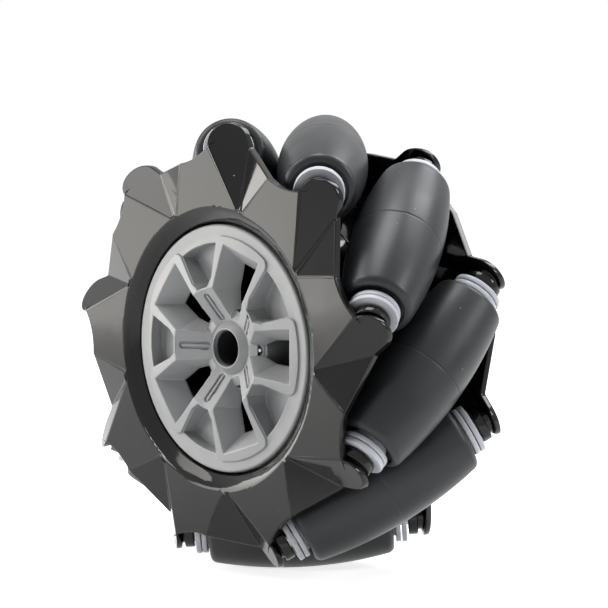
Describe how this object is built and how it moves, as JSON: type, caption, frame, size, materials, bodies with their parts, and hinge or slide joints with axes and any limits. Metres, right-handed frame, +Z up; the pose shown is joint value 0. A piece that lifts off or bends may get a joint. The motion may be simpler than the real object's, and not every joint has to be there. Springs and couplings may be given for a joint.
{
  "type": "mecanum wheel",
  "caption": "Mecanum wheel with free-spinning angled barrel rollers held between two folded gloss shells, and a grey five-window hub insert.",
  "frame": {"origin": "the wheel's centre: on its axis, at the mid-plane between the two shells", "axes": "+Y along the wheel's axis towards the motor side, the decorated side faces -Y, +Z up"},
  "size_m": [0.08, 0.036, 0.08],
  "materials": {
    "shell_gloss": "black injection-moulded ABS, polished",
    "rim_grey": "grey satin moulded plastic",
    "hub_black": "black moulded nylon",
    "tyre_rubber": "matte black moulded rubber",
    "core_white": "white moulded nylon",
    "washer_white": "white moulded nylon",
    "steel": "bright steel"
  },
  "bodies": {
    "wheel_body": {"front_shell": "shell_gloss", "rear_shell": "shell_gloss", "shell_screws": "steel", "hub_rim": "rim_grey", "drive_pins": "steel", "hex_hub": "hub_black", "roller_pin_1": "steel", "roller_pin_2": "steel", "roller_pin_3": "steel", "roller_pin_4": "steel", "roller_pin_5": "steel", "roller_pin_6": "steel", "roller_pin_7": "steel", "roller_pin_8": "steel", "roller_pin_9": "steel"},
    "roller_1": {"roller_tyre_1": "tyre_rubber", "roller_core_1": "core_white", "roller_washers_1": "washer_white"},
    "roller_2": {"roller_tyre_2": "tyre_rubber", "roller_core_2": "core_white", "roller_washers_2": "washer_white"},
    "roller_3": {"roller_tyre_3": "tyre_rubber", "roller_core_3": "core_white", "roller_washers_3": "washer_white"},
    "roller_4": {"roller_tyre_4": "tyre_rubber", "roller_core_4": "core_white", "roller_washers_4": "washer_white"},
    "roller_5": {"roller_tyre_5": "tyre_rubber", "roller_core_5": "core_white", "roller_washers_5": "washer_white"},
    "roller_6": {"roller_tyre_6": "tyre_rubber", "roller_core_6": "core_white", "roller_washers_6": "washer_white"},
    "roller_7": {"roller_tyre_7": "tyre_rubber", "roller_core_7": "core_white", "roller_washers_7": "washer_white"},
    "roller_8": {"roller_tyre_8": "tyre_rubber", "roller_core_8": "core_white", "roller_washers_8": "washer_white"},
    "roller_9": {"roller_tyre_9": "tyre_rubber", "roller_core_9": "core_white", "roller_washers_9": "washer_white"}
  },
  "joints": [
    {"name": "roller_1_spin", "type": "hinge", "parent": "wheel_body", "child": "roller_1", "pos_m": [0.02629, 0, 0.01841], "axis": [-0.4056, 0.7071, 0.5792], "continuous": true},
    {"name": "roller_2_spin", "type": "hinge", "parent": "wheel_body", "child": "roller_2", "pos_m": [0.00831, 0, 0.03101], "axis": [-0.683, 0.7071, 0.183], "continuous": true},
    {"name": "roller_3_spin", "type": "hinge", "parent": "wheel_body", "child": "roller_3", "pos_m": [-0.01357, 0, 0.02909], "axis": [-0.6409, 0.7071, -0.2988], "continuous": true},
    {"name": "roller_4_spin", "type": "hinge", "parent": "wheel_body", "child": "roller_4", "pos_m": [-0.02909, 0, 0.01357], "axis": [-0.2988, 0.7071, -0.6409], "continuous": true},
    {"name": "roller_5_spin", "type": "hinge", "parent": "wheel_body", "child": "roller_5", "pos_m": [-0.03101, 0, -0.00831], "axis": [0.183, 0.7071, -0.683], "continuous": true},
    {"name": "roller_6_spin", "type": "hinge", "parent": "wheel_body", "child": "roller_6", "pos_m": [-0.01841, 0, -0.02629], "axis": [0.5792, 0.7071, -0.4056], "continuous": true},
    {"name": "roller_7_spin", "type": "hinge", "parent": "wheel_body", "child": "roller_7", "pos_m": [0.0028, 0, -0.03198], "axis": [0.7044, 0.7071, 0.0616], "continuous": true},
    {"name": "roller_8_spin", "type": "hinge", "parent": "wheel_body", "child": "roller_8", "pos_m": [0.0227, 0, -0.0227], "axis": [0.5, 0.7071, 0.5], "continuous": true},
    {"name": "roller_9_spin", "type": "hinge", "parent": "wheel_body", "child": "roller_9", "pos_m": [0.03198, 0, -0.0028], "axis": [0.0616, 0.7071, 0.7044], "continuous": true}
  ]
}
